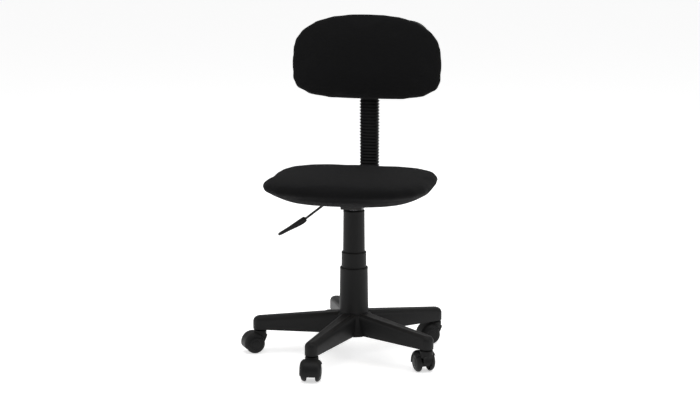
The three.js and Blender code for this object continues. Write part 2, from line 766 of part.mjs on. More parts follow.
// An upright sheet between two depths, its outline given by half width, bottom and top.
function upright({ halfWidth, bottom, top, power }, y0, y1, bevel = 0) {
  const half = (top - bottom) / 2;
  const shape = roundedOutline({ halfWidth, lengths: [half, half], powers: [power, power] });
  return new THREE.ExtrudeGeometry(shape, {
    depth: y1 - y0 - 2 * bevel,
    bevelEnabled: bevel > 0,
    bevelThickness: bevel,
    bevelSize: bevel,
    bevelOffset: -bevel,
    bevelSegments: 2,
  }).rotateX(Math.PI / 2).translate(0, y1 - bevel, (top + bottom) / 2);
}

function boltHole(x, y, z) {
  return post(3 + GAP, -30, 30).rotateX(Math.PI / 2).translate(x, y, z);
}

function backCushion() {
  const { halfWidth, bottom, top, widest, front, rear, powerAbove, powerBelow } = BACK;
  const middle = (front + rear) / 2 + 3;
  const body = pillow({
    halfWidth,
    lengths: [top - widest, widest - bottom],
    powers: [powerAbove, powerBelow],
    depths: [(middle - front) * 1.05, (rear - middle) * 1.3],
    edges: [0.8, 0.8],
  }).rotateX(Math.PI / 2).translate(0, middle, widest);
  const between = block(-halfWidth - 9, halfWidth + 9, front, rear, bottom - 9, top + 9);
  const { thickness } = BACK_BOARD;
  const recess = upright(grown(BACK_BOARD, GAP), rear - thickness - GAP, rear + 5);
  return cut(common(body, between), recess);
}

function grown({ halfWidth, bottom, top, power }, by) {
  return { halfWidth: halfWidth + by, bottom: bottom - by, top: top + by, power };
}

function backBoard() {
  const board = upright(BACK_BOARD, BACK.rear - BACK_BOARD.thickness, BACK.rear);
  return cut(board, ...[-1, 1].map((s) => boltHole(s * BACK_SCREW.x, BACK.rear, BACK_SCREW.z)));
}

function backShell() {
  const { rear, bottom } = SHELL;
  const outline = { ...SHELL, power: 3 };
  const outer = upright(outline, BACK.rear + GAP, rear, 6);
  const inner = upright(grown(outline, -7), BACK.rear - 2, rear - 3);
  const throat = block(-30, 30, BACK.rear - 4, rear - 3, bottom - 20, bottom + 20);
  const screwHole = post(KNOB.screw + 1, -30, 30).rotateX(Math.PI / 2).translate(0, rear, BACK_KNOB_Z);
  return cut(outer, inner, throat, screwHole);
}

function backrest() {
  piece("back_bracket", backBracket(), BLACK_STEEL);
  piece("back_board", backBoard(), PLYWOOD);
  piece("back_cushion", backCushion(), FABRIC);
  piece("back_shell", backShell(), COVER_PLASTIC);
  [-1, 1].forEach((s, i) => {
    const screw = piece(`back_bolt_${i + 1}`, bolt(5.8, 4, 3, 11), BARE_STEEL);
    screw.rotation.x = Math.PI / 2;
    screw.position.set(s * BACK_SCREW.x, BRACKET.front + BRACKET.wall + GAP, BACK_SCREW.z);
  });
  const backKnob = piece("back_knob", knob(30), COVER_PLASTIC);
  backKnob.rotation.x = Math.PI / 2;
  backKnob.position.set(0, SHELL.rear + 6, BACK_KNOB_Z);
}

piece("star_base", starBase(), NYLON);
castors();
column();
cover();
piece("seat_plate", seatPlate(), BLACK_STEEL);
piece("mechanism_box", mechanismBox(), BLACK_STEEL);
seatBolts();
lever();
piece("seat_board", seatBoard(), PLYWOOD);
piece("seat_cushion", seatCushion(), FABRIC);
piece("back_bar", backBar(), BLACK_STEEL);
piece("bellows", bellows(), BELLOWS_PLASTIC);
const barFloor = BAR.z - BAR.thickness / 2 - GAP - 3; // underside of the box below the bar
piece("depth_knob", knob(14), COVER_PLASTIC).position.set(0, DEPTH_KNOB_Y, barFloor - GAP - 4);
backrest();

export default chair;
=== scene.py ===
"""A swivel office chair: five-legged moulded base on twin-wheel castors, gas lift in a telescopic
cover, padded seat on a pressed-steel mechanism, and a padded backrest on a bar inside a bellows.
Metres, +Z up, in the CAD model's own frame. The sitter faces -Y."""
import math

import bmesh
import bpy
from mathutils import Matrix, Vector


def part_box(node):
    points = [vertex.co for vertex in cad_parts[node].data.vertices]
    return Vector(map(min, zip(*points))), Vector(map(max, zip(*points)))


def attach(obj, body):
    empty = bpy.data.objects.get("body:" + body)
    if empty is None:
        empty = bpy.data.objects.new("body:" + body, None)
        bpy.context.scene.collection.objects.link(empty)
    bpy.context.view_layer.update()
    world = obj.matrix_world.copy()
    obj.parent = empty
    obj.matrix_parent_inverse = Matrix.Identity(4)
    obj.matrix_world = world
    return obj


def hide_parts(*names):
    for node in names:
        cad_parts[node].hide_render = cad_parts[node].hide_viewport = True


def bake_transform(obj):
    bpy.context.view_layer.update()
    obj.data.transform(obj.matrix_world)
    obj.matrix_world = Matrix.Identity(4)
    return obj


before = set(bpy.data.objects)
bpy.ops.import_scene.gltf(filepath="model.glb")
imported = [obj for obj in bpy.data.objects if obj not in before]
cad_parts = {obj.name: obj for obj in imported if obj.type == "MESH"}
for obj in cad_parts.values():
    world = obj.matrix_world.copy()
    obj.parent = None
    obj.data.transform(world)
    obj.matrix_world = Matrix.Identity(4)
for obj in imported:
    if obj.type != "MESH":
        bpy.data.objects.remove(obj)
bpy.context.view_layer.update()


# ---- Camera, floor and light ----
# The camera stands a little to one side of the front and a little above the seat. A pale floor that gives
# off some light runs back out of sight. The camera sees a white world, which lights the chair only in part.
def soft_light(name, place, aim, width, height, watts):
    bpy.ops.object.light_add(type="AREA", location=place)
    light = bpy.context.object
    light.name = name
    light.data.shape = "RECTANGLE"
    light.data.size, light.data.size_y = width, height
    light.data.energy = watts
    light.rotation_euler = (Vector(aim) - Vector(place)).to_track_quat("-Z", "Y").to_euler()


azimuth, elevation, distance = math.radians(12), math.radians(10.7), 4.245
aim_right, aim_height = -0.0099, 0.3995
aim = Vector((aim_right * math.cos(azimuth), aim_right * math.sin(azimuth), aim_height))
away = Vector((
    math.sin(azimuth) * math.cos(elevation),
    -math.cos(azimuth) * math.cos(elevation),
    math.sin(elevation),
))
bpy.ops.object.camera_add(location=aim + distance * away, rotation=(math.pi / 2 - elevation, 0, azimuth))
camera = bpy.context.object
camera.data.lens = 87.3
camera.data.sensor_width = 36
bpy.context.scene.camera = camera

bpy.ops.mesh.primitive_plane_add(size=60)
floor = bpy.context.object
floor.name = "floor"
pale = bpy.data.materials.new("pale_floor")
pale.use_nodes = True
for name, value in (
    ("Base Color", (0.93, 0.93, 0.93, 1)), ("Roughness", 0.9),
    ("Emission Color", (1, 1, 1, 1)), ("Emission Strength", 0.56),
):
    pale.node_tree.nodes["Principled BSDF"].inputs[name].default_value = value
floor.data.materials.append(pale)

soft_light("light_overhead", (0.3, -0.4, 3.4), (0, 0, 0.4), 3.2, 3.2, 66)
soft_light("light_left", (-2.6, -1.2, 1.3), (0, 0, 0.45), 0.8, 2.4, 20)
soft_light("light_right", (2.7, -0.7, 1.4), (0, 0, 0.45), 0.8, 2.4, 22)
soft_light("light_behind", (0.4, 2.8, 1.9), (0, 0, 0.45), 2.6, 1.4, 8)
world = bpy.data.worlds.new("studio")
world.use_nodes = True
sky = world.node_tree.nodes["Background"]
sky.inputs["Color"].default_value = (1, 1, 1, 1)
ray = world.node_tree.nodes.new("ShaderNodeLightPath")
seen = world.node_tree.nodes.new("ShaderNodeMapRange")
world.node_tree.links.new(ray.outputs["Is Camera Ray"], seen.inputs["Value"])
seen.inputs["To Min"].default_value, seen.inputs["To Max"].default_value = 0.42, 1.0
world.node_tree.links.new(seen.outputs[0], sky.inputs["Strength"])
bpy.context.scene.world = world
bpy.context.scene.view_settings.view_transform = "Standard"


# ---- Star base ----
# One injection moulding in black glass-filled nylon: five tapered legs with rounded shoulders flow into
# a hub. It is hollow underneath, with ribs along and across each leg and a socket boss at each tip.
def input_socket(group, name, kind, value=None):
    socket = group.interface.new_socket(name=name, in_out="INPUT", socket_type=f"NodeSocket{kind}")
    if value is not None:
        socket.default_value = value


def output_socket(group, name, kind="Float"):
    group.interface.new_socket(name=name, in_out="OUTPUT", socket_type=f"NodeSocket{kind}")


def add_node(tree, kind, settings=None, **inputs):
    """A node with its settings, and each input either a value or another node's output."""
    node = tree.nodes.new(kind)
    for key, value in (settings or {}).items():
        setattr(node, key, value)
    for key, value in inputs.items():
        numbered = key[0] == "n" and key[1:].isdigit()
        socket = node.inputs[int(key[1:]) if numbered else key.replace("_", " ")]
        if isinstance(value, bpy.types.NodeSocket):
            tree.links.new(value, socket)
        else:
            socket.default_value = value
    return node


def calculate(tree, operation, first, second=0.0, third=0.0):
    node = add_node(tree, "ShaderNodeMath", {"operation": operation}, n0=first, n1=second, n2=third)
    return node.outputs[0]


def spread(tree, value, low, high, to_low, to_high):
    """The value moved from one range to another, and held inside it."""
    node = add_node(tree, "ShaderNodeMapRange", n0=value, n1=low, n2=high, n3=to_low, n4=to_high)
    return node.outputs[0]


def noise(tree, where, scale, detail=3.0, rough=0.5):
    node = add_node(tree, "ShaderNodeTexNoise", Vector=where, Scale=scale, Detail=detail, Roughness=rough)
    return node.outputs["Fac"]


def blend_colours(tree, share, first, second):
    node = add_node(tree, "ShaderNodeMix", {"data_type": "RGBA"}, n0=share, n6=first, n7=second)
    return node.outputs[2]


def moulded_grain_group():
    """The spark-eroded grain of a moulding tool: Height is the grain, Tone its slow change of shade."""
    group = bpy.data.node_groups.new("moulded_grain", "ShaderNodeTree")
    input_socket(group, "Where", "Vector")
    input_socket(group, "Grain", "Float", 900.0)
    output_socket(group, "Height")
    output_socket(group, "Tone")
    start, end = group.nodes.new("NodeGroupInput"), group.nodes.new("NodeGroupOutput")
    where, grain = start.outputs["Where"], start.outputs["Grain"]
    pits = add_node(group, "ShaderNodeTexVoronoi", {"feature": "SMOOTH_F1"}, Vector=where, Scale=grain)
    fine = noise(group, where, calculate(group, "MULTIPLY", grain, 0.6), 4.0)
    height = calculate(group, "ADD", calculate(group, "MULTIPLY", pits.outputs["Distance"], 0.6), fine)
    group.links.new(height, end.inputs["Height"])
    slow = calculate(group, "ADD", noise(group, where, 9.0), calculate(group, "MULTIPLY", fine, 0.35))
    group.links.new(spread(group, slow, 0.35, 1.0, 0.0, 1.0), end.inputs["Tone"])
    return group


def settled_dust_group():
    """Dust on what faces up, and rubbed patches: both are masks from 0 to 1."""
    group = bpy.data.node_groups.new("settled_dust", "ShaderNodeTree")
    input_socket(group, "Where", "Vector")
    input_socket(group, "Facing", "Vector")
    output_socket(group, "Dust")
    output_socket(group, "Rubbed")
    start, end = group.nodes.new("NodeGroupInput"), group.nodes.new("NodeGroupOutput")
    where = start.outputs["Where"]
    up = add_node(group, "ShaderNodeSeparateXYZ", None, Vector=start.outputs["Facing"]).outputs["Z"]
    level = spread(group, up, 0.55, 1.0, 0.0, 1.0)
    patches = spread(group, noise(group, where, 38.0, 5.0, 0.65), 0.4, 0.7, 0.25, 1.0)
    group.links.new(calculate(group, "MULTIPLY", level, patches), end.inputs["Dust"])
    rubbed = spread(group, noise(group, where, 16.0, 6.0, 0.7), 0.52, 0.72, 0.0, 1.0)
    group.links.new(rubbed, end.inputs["Rubbed"])
    return group


moulded_grain = moulded_grain_group()
settled_dust = settled_dust_group()


def start_material(name, roughness):
    """A new material with its shader, and where on the piece and which way its surface faces."""
    material = bpy.data.materials.new(name)
    material.use_nodes = True
    tree = material.node_tree
    shader = tree.nodes["Principled BSDF"]
    shader.inputs["Roughness"].default_value = roughness
    place = tree.nodes.new("ShaderNodeTexCoord")
    return material, tree, shader, place.outputs["Object"], place.outputs["Normal"]


def place_group(tree, group, **inputs):
    return add_node(tree, "ShaderNodeGroup", {"node_tree": group}, **inputs)


def finish_surface(tree, shader, colour, shine, height, strength, depth):
    """Gives a shader its colour, its roughness and its relief."""
    bump = add_node(tree, "ShaderNodeBump", Height=height, Strength=strength, Distance=depth)
    tree.links.new(colour, shader.inputs["Base Color"])
    tree.links.new(shine, shader.inputs["Roughness"])
    tree.links.new(bump.outputs["Normal"], shader.inputs["Normal"])


def moulded_plastic(name, dark, light, roughness, grain, depth):
    """Black moulded plastic: grained, a little uneven in shade and shine, dusty on top, rubbed in patches."""
    material, tree, shader, where, facing = start_material(name, roughness)
    grained = place_group(tree, moulded_grain, Where=where, Grain=grain)
    dusty = place_group(tree, settled_dust, Where=where, Facing=facing)
    plain = blend_colours(
        tree, grained.outputs["Tone"], (dark, dark, dark * 1.03, 1), (light, light, light * 1.02, 1),
    )
    dust = calculate(tree, "MULTIPLY", dusty.outputs["Dust"], 0.05)
    colour = blend_colours(tree, dust, plain, (0.16, 0.155, 0.15, 1))
    shine = calculate(tree, "MULTIPLY_ADD", dusty.outputs["Rubbed"], -0.07, roughness)
    shine = calculate(tree, "MULTIPLY_ADD", dusty.outputs["Dust"], 0.12, shine)
    finish_surface(tree, shader, colour, shine, grained.outputs["Height"], 0.35, depth)
    shader.inputs["Specular IOR Level"].default_value = 0.14
    return material


nylon = moulded_plastic("glass_filled_nylon", 0.005, 0.009, 0.48, 950.0, 0.00012)


def middle(node):
    low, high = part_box(node)
    return (low + high) / 2


def edit(piece):
    """Opens one piece alone in edit mode, with nothing in it selected."""
    bpy.ops.object.select_all(action="DESELECT")
    piece.select_set(True)
    bpy.context.view_layer.objects.active = piece
    bpy.ops.object.mode_set(mode="EDIT")
    bpy.ops.mesh.select_mode(type="VERT")
    bpy.ops.mesh.select_all(action="DESELECT")


def close(piece):
    bpy.ops.object.mode_set(mode="OBJECT")
    return piece


def pick_faces(piece, wanted):
    """In edit mode, selects just the faces for which wanted(middle, normal) is true."""
    bpy.ops.mesh.select_mode(type="FACE")
    bpy.ops.mesh.select_all(action="DESELECT")
    mesh = bmesh.from_edit_mesh(piece.data)
    for face in mesh.faces:
        face.select_set(wanted(face.calc_center_median(), face.normal))
    bmesh.update_edit_mesh(piece.data)


def pick_edges(piece, wanted):
    """In edit mode, selects just the edges for which wanted(one end, other end) is true."""
    bpy.ops.mesh.select_mode(type="EDGE")
    bpy.ops.mesh.select_all(action="DESELECT")
    mesh = bmesh.from_edit_mesh(piece.data)
    for edge in mesh.edges:
        edge.select_set(wanted(edge.verts[0].co, edge.verts[1].co))
    bmesh.update_edit_mesh(piece.data)


def pick_points(piece, wanted):
    bpy.ops.mesh.select_mode(type="VERT")
    bpy.ops.mesh.select_all(action="DESELECT")
    mesh = bmesh.from_edit_mesh(piece.data)
    for point in mesh.verts:
        point.select_set(wanted(point.co))
    mesh.select_flush(True)
    bmesh.update_edit_mesh(piece.data)


def name_piece(piece, name):
    piece.name = name
    piece.data.name = name
    return piece


def new_piece(name):
    """The primitive just added, named, with its place and size in its mesh."""
    bpy.ops.object.transform_apply(location=True, rotation=True, scale=True)
    return name_piece(bpy.context.object, name)


def new_block(name, low, high):
    """A cube primitive between two corners."""
    low, high = Vector(low), Vector(high)
    bpy.ops.object.select_all(action="DESELECT")
    bpy.ops.mesh.primitive_cube_add(size=1, location=(low + high) / 2)
    bpy.context.object.scale = high - low
    return new_piece(name)


def drawn_line(name, points):
    """One vertex extruded from point to point, left open in edit mode with the whole line selected."""
    points = [Vector(p) for p in points]
    bpy.ops.object.select_all(action="DESELECT")
    bpy.ops.mesh.primitive_plane_add(size=0.001, location=points[0])
    piece = new_piece(name)
    bpy.ops.object.mode_set(mode="EDIT")
    bpy.ops.mesh.select_mode(type="VERT")
    bpy.ops.mesh.select_all(action="SELECT")
    bpy.ops.mesh.merge(type="CENTER")
    for before, after in zip(points, points[1:]):
        bpy.ops.mesh.extrude_region_move(TRANSFORM_OT_translate={"value": after - before})
    bpy.ops.mesh.select_all(action="SELECT")
    return piece


def heal(piece):
    """In edit mode: doubles merged, normals turned outwards."""
    bpy.ops.mesh.select_all(action="SELECT")
    bpy.ops.mesh.remove_doubles(threshold=1e-6)
    bpy.ops.mesh.normals_make_consistent(inside=False)


def turned(name, profile, steps=96):
    """A round piece on the Z axis: a (radius, height) profile, closed or from axis to axis, spun round."""
    piece = drawn_line(name, [(radius, 0, height) for radius, height in profile])
    bpy.ops.mesh.spin(steps=steps, angle=2 * math.pi, center=(0, 0, 0), axis=(0, 0, 1))
    heal(piece)
    return close(piece)


def apply_modifier(piece, kind, **settings):
    bpy.ops.object.select_all(action="DESELECT")
    piece.select_set(True)
    bpy.context.view_layer.objects.active = piece
    bpy.ops.object.modifier_add(type=kind)
    modifier = piece.modifiers[-1]
    for key, value in settings.items():
        setattr(modifier, key, value)
    bpy.ops.object.modifier_apply(modifier=modifier.name)
    return piece


def combine(piece, tool, operation):
    """Joins a tool to a piece, or cuts it out of the piece, and throws the tool away."""
    apply_modifier(piece, "BOOLEAN", object=tool, operation=operation, solver="EXACT")
    bpy.data.objects.remove(tool)
    return piece


def join(piece, *others):
    """Makes loose solids one piece with it, each kept whole where they meet."""
    bpy.ops.object.select_all(action="DESELECT")
    for part in (piece, *others):
        part.select_set(True)
    bpy.context.view_layer.objects.active = piece
    bpy.ops.object.join()
    return piece


def round_edges(piece, width, segments=2, angle=35):
    apply_modifier(
        piece, "BEVEL", width=width, segments=segments, limit_method="ANGLE", angle_limit=math.radians(angle),
    )
    return piece


def smooth(piece, angle=40):
    bpy.ops.object.select_all(action="DESELECT")
    piece.select_set(True)
    bpy.context.view_layer.objects.active = piece
    bpy.ops.object.shade_smooth_by_angle(angle=math.radians(angle))
    return piece


def put(piece, turn=0.0, to=(0, 0, 0), tilt=None):
    """Turns a piece about Z, moves it, and keeps its place in its mesh."""
    move = Matrix.Translation(to) @ Matrix.Rotation(turn, 4, "Z")
    piece.data.transform(move @ (tilt or Matrix.Identity(4)))
    piece.data.update()
    return piece


def copy_of(piece, name):
    copy = bpy.data.objects.new(name, piece.data.copy())
    bpy.context.scene.collection.objects.link(copy)
    return name_piece(copy, name)


def hand_over(piece, body, slot, material, *nodes):
    """Gives a finished piece its material and its body, and lets it stand for its CAD nodes."""
    piece.data.materials.clear()
    piece.data.materials.append(material)
    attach(piece, body)
    if nodes:
        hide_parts(*nodes)


base_low, base_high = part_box("star_base")
underside, ridge_root, ridge_tip = base_low.z, base_high.z + 0.0008, 0.093
stems = [middle(f"castor_stem_{n}") for n in range(1, 6)]
leg_reach = math.hypot(stems[0].x, stems[0].y)
leg_turns = [math.atan2(stem.y, stem.x) for stem in stems]
tip_radius, root_half, leg_start = 0.0165, 0.023, 0.036
shoulder, leg_wall = 0.0132, 0.0035
hub_radius, hub_top = 0.0450, 0.1125


def leg():
    """A tapered block whose tip is rounded in plan and whose top edges are rolled over into shoulders."""
    end = leg_reach + 0.0175
    piece = new_block("leg", (leg_start, -root_half, underside), (end, root_half, ridge_root))
    edit(piece)
    pick_points(piece, lambda p: p.x > leg_reach)
    bpy.ops.transform.resize(value=(1, tip_radius / root_half, 1), center_override=(end, 0, underside))
    pick_points(piece, lambda p: p.x > leg_reach and p.z > ridge_tip)
    bpy.ops.transform.translate(value=(0, 0, ridge_tip - ridge_root))
    pick_edges(piece, lambda a, b: min(a.x, b.x) > leg_reach and abs(a.z - b.z) > 0.01)
    bpy.ops.mesh.bevel(offset=tip_radius * 0.985, segments=9, affect="EDGES")
    bpy.ops.mesh.select_all(action="SELECT")
    bpy.ops.mesh.remove_doubles(threshold=0.0008)
    on_top = lambda p: p.z > ridge_tip - 0.001
    pick_edges(piece, lambda a, b: on_top(a) and on_top(b) and max(a.x, b.x) > leg_start + 0.001)
    bpy.ops.mesh.bevel(offset=shoulder, segments=8, affect="EDGES")
    pick_faces(piece, lambda at, normal: normal.z > 0.992 and abs(at.y) < 0.001)
    bpy.ops.mesh.inset(thickness=0.0012, depth=-0.0004)
    return close(piece)


def leg_stiffeners():
    """Under a leg: one long rib, three cross ribs and the round socket that takes the castor's stem."""
    roof, bore, outside = 0.0885, 0.0056, 0.0115
    socket = turned("socket", [
        (bore, underside), (outside, underside), (outside, roof), (0, roof), (0, roof - 0.003),
        (bore, roof - 0.003), (bore, underside),
    ], 40)
    put(socket, to=(leg_reach, 0, 0))
    far_end = leg_reach - bore - 0.002
    rib = new_block(
        "rib", (hub_radius - 0.003, -0.0015, underside + 0.002), (far_end, 0.0015, ridge_root - 0.004),
    )
    edit(rib)
    pick_points(rib, lambda p: p.x > 0.1 and p.z > underside + 0.01)
    bpy.ops.transform.translate(value=(0, 0, ridge_tip - ridge_root))
    close(rib)
    cross_ribs = []
    for far in (0.095, 0.14, 0.185):
        half = root_half + (tip_radius - root_half) * far / leg_reach - 0.0025
        top = ridge_root + (ridge_tip - ridge_root) * far / leg_reach - 0.013
        low, high = (far - 0.0012, -half, underside + 0.002), (far + 0.0012, half, top)
        cross_ribs.append(new_block("cross_rib", low, high))
    return join(socket, rib, *cross_ribs)


tube_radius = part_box("column_tube")[1].x
cover_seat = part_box("cover_lower")[1].x + 0.0006
seat_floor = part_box("cover_lower")[0].z - 0.0003
star_base = turned("star_base_moulding", [
    (tube_radius + 0.0003, underside),
    (hub_radius + 0.0125, underside),
    (hub_radius + 0.0085, underside + 0.006),
    (hub_radius + 0.0050, underside + 0.014),
    (hub_radius + 0.0022, underside + 0.024),
    (hub_radius + 0.0004, underside + 0.034),
    (hub_radius, hub_top - 0.009),
    (hub_radius - 0.0008, hub_top - 0.0055),
    (hub_radius - 0.0026, hub_top - 0.0022),
    (hub_radius - 0.0052, hub_top - 0.0004),
    (hub_radius - 0.0068, hub_top),
    (tube_radius + 0.0003, hub_top),
    (tube_radius + 0.0003, underside),
])
one_leg = leg()
for turn in leg_turns:
    combine(star_base, put(copy_of(one_leg, "next_leg"), turn), "UNION")
bpy.data.objects.remove(one_leg)
foot_room = turned("foot_room", [(0, seat_floor), (cover_seat, seat_floor), (cover_seat, 0.2), (0, 0.2)])
combine(star_base, foot_room, "DIFFERENCE")
edit(star_base)
pick_faces(star_base, lambda at, normal: normal.z < -0.9 and at.z < underside + 0.001)
bpy.ops.mesh.delete(type="FACE")
close(star_base)
apply_modifier(star_base, "SOLIDIFY", thickness=leg_wall, offset=-1)
round_edges(star_base, 0.0007, 2, 40)
stiffeners = leg_stiffeners()
join(star_base, *[put(copy_of(stiffeners, "next_rib"), turn) for turn in leg_turns])
bpy.data.objects.remove(stiffeners)
smooth(star_base)
hand_over(star_base, "base", "nylon", nylon, "star_base")


# ---- Castor bodies ----
# Black nylon mouldings: a round collar over the stem, a barrel-shaped hood over the tops and rear of both
# wheels, and a web between the wheels that holds the axle. One is shaped, then copied to each leg's tip.
axles = [middle(f"castor_axle_{n}") for n in range(1, 6)]
wheel_radius = axles[0].z
trail = math.hypot(axles[0].x - stems[0].x, axles[0].y - stems[0].y)
castor_turns = [math.atan2(axle.y - stem.y, axle.x - stem.x) for axle, stem in zip(axles, stems)]
castor_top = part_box("castor_body_1")[1].z
collar_radius, hood_radius, hood_half, web_half = 0.0165, 0.029, 0.026, 0.011
wheel_room = wheel_radius + 0.0012


def on_axle(angle, radius, side=0.0):
    """A point at an angle round the axle, from the trailing side up."""
    return Vector((trail + radius * math.cos(angle), side, wheel_radius + radius * math.sin(angle)))


def castor_hood():
    start, stop = math.radians(-15), math.radians(133)
    flat_half, crown = 0.0151, 0.0155
    profile = []
    for i in range(-12, 13):
        side = hood_half * math.sin(math.pi / 2 * i / 12)
        bend = max(0.0, abs(side) - flat_half) / 0.012
        profile.append((side, hood_radius - crown * (1 - math.sqrt(1 - bend * bend))))
    piece = drawn_line("hood", [on_axle(start, radius, side) for side, radius in profile])
    bpy.ops.mesh.spin(steps=40, angle=stop - start, center=on_axle(0, 0), axis=(0, 1, 0))
    heal(piece)
    close(piece)
    face = piece.data.polygons[len(piece.data.polygons) // 2]
    if face.normal.dot(face.center - on_axle(0, 0)) < 0:
        piece.data.flip_normals()
    edit(piece)
    corners = [on_axle(a, profile[0][1], s) for a in (start, stop) for s in (-hood_half, hood_half)]
    pick_points(piece, lambda p: min((p - c).length for c in corners) < 0.0003)
    bpy.ops.mesh.bevel(offset=0.006, segments=6, affect="VERTICES")
    close(piece)
    return apply_modifier(piece, "SOLIDIFY", thickness=0.0019, offset=-1)


def castor_web():
    """The web's side outline, filled and pulled across to the web's thickness."""
    outline = [Vector((-collar_radius, 0, castor_top - 0.012))]
    knee, arch = Vector((-0.012, 0, 0.031)), Vector((-0.002, 0, 0.0165))
    heel, low = Vector((0.006, 0, 0.0135)), Vector((trail, 0, wheel_radius - 0.0105))
    for bend, finish in ((knee, arch), (heel, low)):
        start = outline[-1]
        for i in range(1, 7):
            t = i / 6
            outline.append(start.lerp(bend, t).lerp(bend.lerp(finish, t), t))
    outline += [on_axle(math.radians(a), hood_radius - 0.0012) for a in range(-17, 84, 10)]
    outline += [Vector((0.0, 0, castor_top - 0.006))]
    piece = drawn_line("web", [p + Vector((0, -web_half, 0)) for p in outline])
    bpy.ops.mesh.edge_face_add()
    bpy.ops.mesh.extrude_region_move(TRANSFORM_OT_translate={"value": (0, 2 * web_half, 0)})
    heal(piece)
    return close(piece)


def castor_body():
    foot = castor_top - 0.017
    piece = turned("castor", [
        (0, foot),
        (collar_radius, foot),
        (collar_radius, castor_top - 0.0018),
        (collar_radius - 0.0005, castor_top - 0.0006),
        (collar_radius - 0.0018, castor_top),
        (0.0095, castor_top),
        (0.0095, castor_top - 0.001),
        (0, castor_top - 0.001),
    ], 64)
    for side in (-1, 1):
        room = turned("room", [(0, web_half), (wheel_room, web_half), (wheel_room, 0.04), (0, 0.04)], 64)
        put(room, to=on_axle(0, 0), tilt=Matrix.Rotation(side * math.pi / 2, 4, "X"))
        combine(piece, room, "DIFFERENCE")
    combine(piece, castor_hood(), "UNION")
    combine(piece, castor_web(), "UNION")
    return smooth(round_edges(piece, 0.0006, 2, 40))


one_castor = castor_body()
for n, (stem, turn) in enumerate(zip(stems, castor_turns), 1):
    body = put(copy_of(one_castor, f"castor_hood_{n}"), turn, (stem.x, stem.y, 0))
    hand_over(body, f"castor_{n}", "nylon", nylon, f"castor_body_{n}")
bpy.data.objects.remove(one_castor)


# ---- Castor wheels ----
# Black nylon, 50 mm across. The outer face is a dome with a fine groove round its cap; the inner face
# is hollow round a hub that runs on the axle, with spokes in the hollow.
wheel_inner, wheel_outer = 0.012, 0.026
tread = moulded_plastic("wheel_nylon", 0.005, 0.009, 0.40, 700.0, 0.0001)


def castor_wheel():
    """The wheel is turned on Z with its outer face up, its spokes joined in."""
    dome_start, dome_spread, dome_top, dome_fall = 0.0135, 0.0113, wheel_outer - 0.0014, 0.0092
    dome = []
    for i in range(13):
        angle = math.pi / 2 * i / 12
        dome.append((
            dome_start + dome_spread * math.sin(angle), dome_top - dome_fall * (1 - math.cos(angle)),
        ))
    cap = [(0, wheel_outer), (0.006, wheel_outer - 0.0002), (0.0105, wheel_outer - 0.0007)]
    groove = [(0.0116, wheel_outer - 0.0009), (0.0119, wheel_outer - 0.0017), (0.0126, wheel_outer - 0.0017)]
    piece = turned("wheel", cap + groove + dome + [
        (wheel_radius, 0.0150),
        (wheel_radius - 0.0004, 0.0133),
        (wheel_radius - 0.0015, wheel_inner),
        (0.0222, wheel_inner),
        (0.0208, 0.0188),
        (0.0068, 0.0205),
        (0.0062, wheel_inner),
        (0.0033, wheel_inner),
        (0.0033, 0.0213),
        (0, 0.0213),
    ], 72)
    for i in range(8):
        spoke = new_block("spoke", (0.0055, -0.0007, wheel_inner + 0.0012), (0.0215, 0.0007, 0.0205))
        combine(piece, put(spoke, turn=math.pi * i / 4), "UNION")
    return smooth(piece, 32)


one_wheel = castor_wheel()
for n, (axle, turn) in enumerate(zip(axles, castor_turns), 1):
    for side, tilt in (("left", math.pi / 2), ("right", -math.pi / 2)):
        wheel = copy_of(one_wheel, f"wheel_{side}_{n}")
        put(wheel, turn, axle, Matrix.Rotation(tilt, 4, "X"))
        hand_over(wheel, f"wheel_{side}_{n}", "nylon", tread, f"castor_wheel_{side}_{n}")
bpy.data.objects.remove(one_wheel)


# ---- Telescopic cover ----
# Three polypropylene sleeves that slide in one another and hide the gas lift. Each is drawn in slightly
# towards its top and ends in a rolled lip; the lowest stands in the hub on a small flared foot.
cover_plastic = moulded_plastic("cover_polypropylene", 0.004, 0.0065, 0.5, 1200.0, 0.00007)
cover_wall = 0.0018


def sleeve(name, node, top_radius, inner_lip, flare):
    low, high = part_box(node)
    foot_radius, foot, top = high.x, low.z, high.z
    return smooth(turned(name, [
        (foot_radius - cover_wall, foot),
        (foot_radius - 0.0004, foot),
        (foot_radius, foot + 0.0004),
        (foot_radius, foot + 0.002),
        (foot_radius - flare, foot + 0.0055),
        (foot_radius - flare - 0.0002, foot + 0.009),
        (top_radius, top - 0.0062),
        (top_radius + 0.0001, top - 0.0052),
        (top_radius + 0.0003, top - 0.0042),
        (top_radius + 0.0003, top - 0.0016),
        (top_radius - 0.0001, top - 0.0005),
        (top_radius - 0.0007, top),
        (top_radius - cover_wall - inner_lip, top),
        (top_radius - cover_wall - inner_lip, top - 0.002),
        (top_radius - cover_wall, top - 0.002),
        (foot_radius - flare - cover_wall, foot + 0.009),
        (foot_radius - cover_wall, foot),
    ], 112), 50)


for height, body, top_radius, inner_lip, flare in (
    ("lower", "base", 0.035, 0.0, 0.001), ("middle", "middle_cover", 0.031, 0.0, 0.0),
    ("upper", "seat", 0.0266, 0.008, 0.0),
):
    piece = sleeve(f"sleeve_{height}", f"cover_{height}", top_radius, inner_lip, flare)
    hand_over(piece, body, "black_plastic", cover_plastic, f"cover_{height}")


